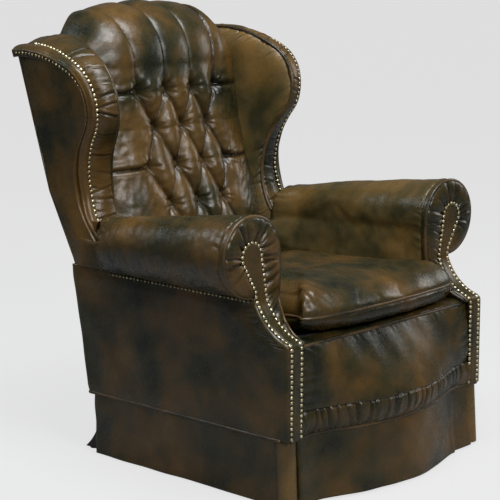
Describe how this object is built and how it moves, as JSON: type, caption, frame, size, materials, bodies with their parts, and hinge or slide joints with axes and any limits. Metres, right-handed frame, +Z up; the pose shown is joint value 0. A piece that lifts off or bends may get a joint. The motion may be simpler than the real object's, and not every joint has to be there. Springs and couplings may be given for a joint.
{
  "type": "wing chair",
  "caption": "High-back wing armchair with deep-buttoned leather back fluted over the crest, rolled scroll arms, bow-fronted gathered skirt and a loose seat cushion.",
  "frame": {"origin": "on the floor under the middle of the whole chair's bounding box", "axes": "+X the sitter's left, which is the right side seen from the front; the chair faces -Y; +Z up"},
  "size_m": [0.909, 0.9618, 1.0765],
  "materials": {
    "leather": "antiqued brown leather, hand-rubbed, semi-gloss",
    "beech": "plain sawn beech, unfinished",
    "stained_wood": "dark stained and polished where it shows below the skirt",
    "glide": "dull brown glide",
    "webbing": "woven upholstery webbing",
    "lining": "dark lining cloth"
  },
  "bodies": {
    "chair": {"back_buttons": "leather", "back_rail": "beech", "back_skirt": "leather", "back_stretcher": "beech", "back_webbing": "webbing", "border_piping": "leather", "corner_blocks": "beech", "crest_piping": "leather", "crest_rail": "beech", "dust_cover": "lining", "foot_glides": "glide", "front_legs": "beech", "front_rail": "beech", "front_skirt": "leather", "gathered_band": "leather", "left_arm_pad": "leather", "left_arm_piping": "leather", "left_arm_post": "beech", "left_arm_rail": "beech", "left_arm_ruche": "leather", "left_arm_strip": "leather", "left_back_post": "stained_wood", "left_outside_arm": "leather", "left_outside_wing": "leather", "left_scroll_board": "beech", "left_side_rail": "beech", "left_skirt": "leather", "left_wing_band": "leather", "left_wing_board": "beech", "left_wing_pad": "leather", "left_wing_piping": "leather", "left_wing_ruche": "leather", "outside_back": "leather", "right_arm_pad": "leather", "right_arm_piping": "leather", "right_arm_post": "beech", "right_arm_rail": "beech", "right_arm_ruche": "leather", "right_arm_strip": "leather", "right_back_post": "stained_wood", "right_outside_arm": "leather", "right_outside_wing": "leather", "right_scroll_board": "beech", "right_side_rail": "beech", "right_skirt": "leather", "right_wing_band": "leather", "right_wing_board": "beech", "right_wing_pad": "leather", "right_wing_piping": "leather", "right_wing_ruche": "leather", "seat_border": "leather", "seat_deck": "lining", "seat_webbing": "webbing", "skirt_inserts": "leather", "skirt_welt": "leather", "tufted_back": "leather"},
    "cushion": {"seat_cushion": "leather", "cushion_welt": "leather"}
  },
  "joints": [
    {"name": "cushion_lift", "type": "slide", "parent": "chair", "child": "cushion", "axis": [0, 0, 1], "range_m": [0, 0.34]}
  ]
}
